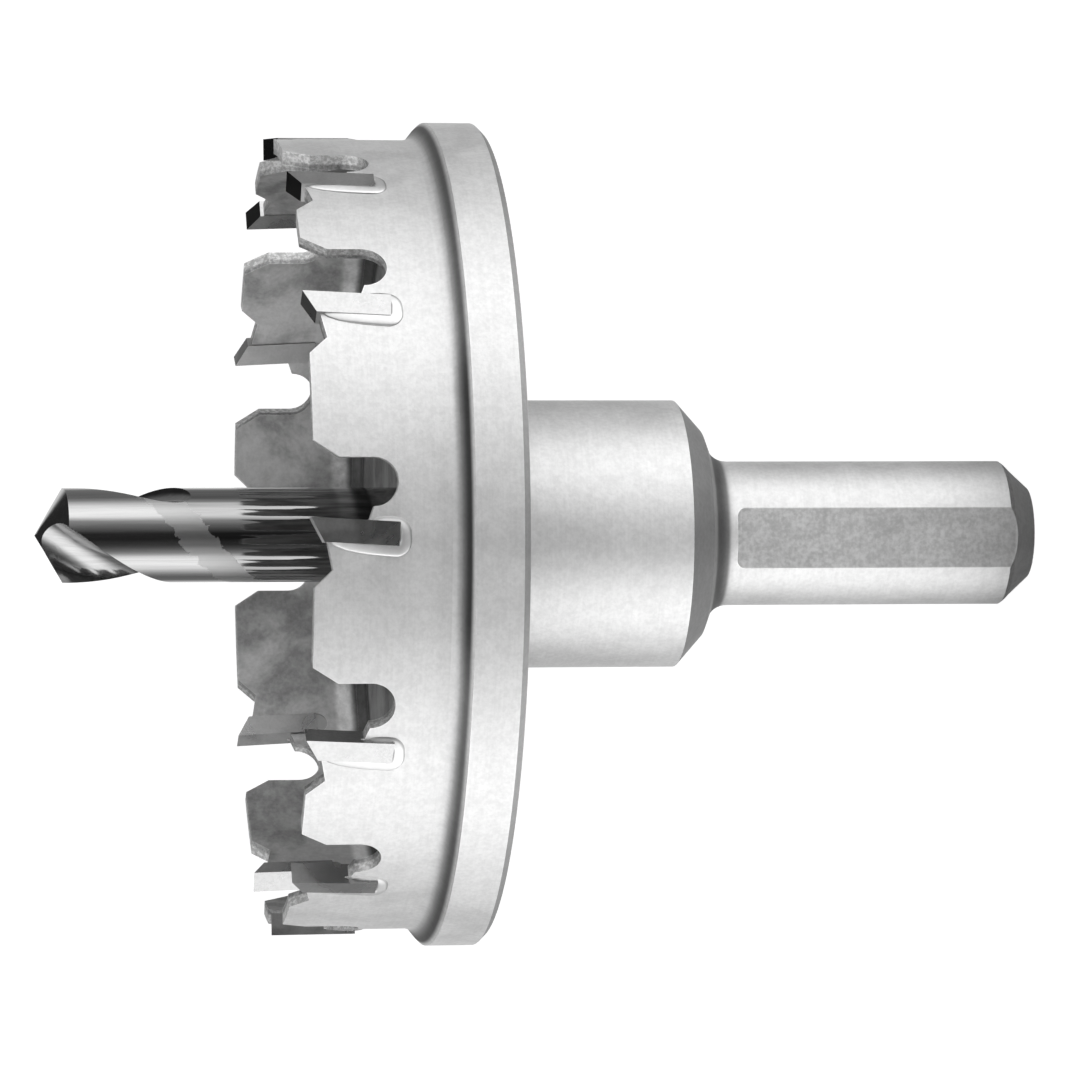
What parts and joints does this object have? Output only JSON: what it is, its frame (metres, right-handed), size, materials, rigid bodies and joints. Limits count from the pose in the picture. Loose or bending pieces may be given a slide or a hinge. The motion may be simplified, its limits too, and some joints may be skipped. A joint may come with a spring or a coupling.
{
  "type": "hole saw",
  "caption": "Flat-cut hole saw: a shallow cup with brazed carbide teeth, a flange that stops the cut, a hub and shank with jaw flats, and a screwed-in pilot drill.",
  "frame": {"origin": "centre of the flat end of the shank, at the lowest point", "axes": "+Z along the axis from the shank to the tip of the pilot drill, +X towards one lip of the pilot drill"},
  "size_m": [0.0566, 0.0566, 0.0693],
  "materials": {
    "blasted_steel": "satin, bead blasted",
    "carbide": "ground carbide",
    "braze": "satin silver braze",
    "drill_steel": "polished high speed steel",
    "black_screw": "black oxide"
  },
  "bodies": {
    "root": {"cutter_body": "blasted_steel", "tooth_01": "carbide", "tooth_02": "carbide", "tooth_03": "carbide", "tooth_04": "carbide", "tooth_05": "carbide", "tooth_06": "carbide", "tooth_07": "carbide", "tooth_08": "carbide", "tooth_09": "carbide", "tooth_10": "carbide", "tooth_11": "carbide", "tooth_12": "carbide", "braze_01": "braze", "braze_02": "braze", "braze_03": "braze", "braze_04": "braze", "braze_05": "braze", "braze_06": "braze", "braze_07": "braze", "braze_08": "braze", "braze_09": "braze", "braze_10": "braze", "braze_11": "braze", "braze_12": "braze", "pilot_drill": "drill_steel", "set_screw": "black_screw"}
  },
  "joints": []
}
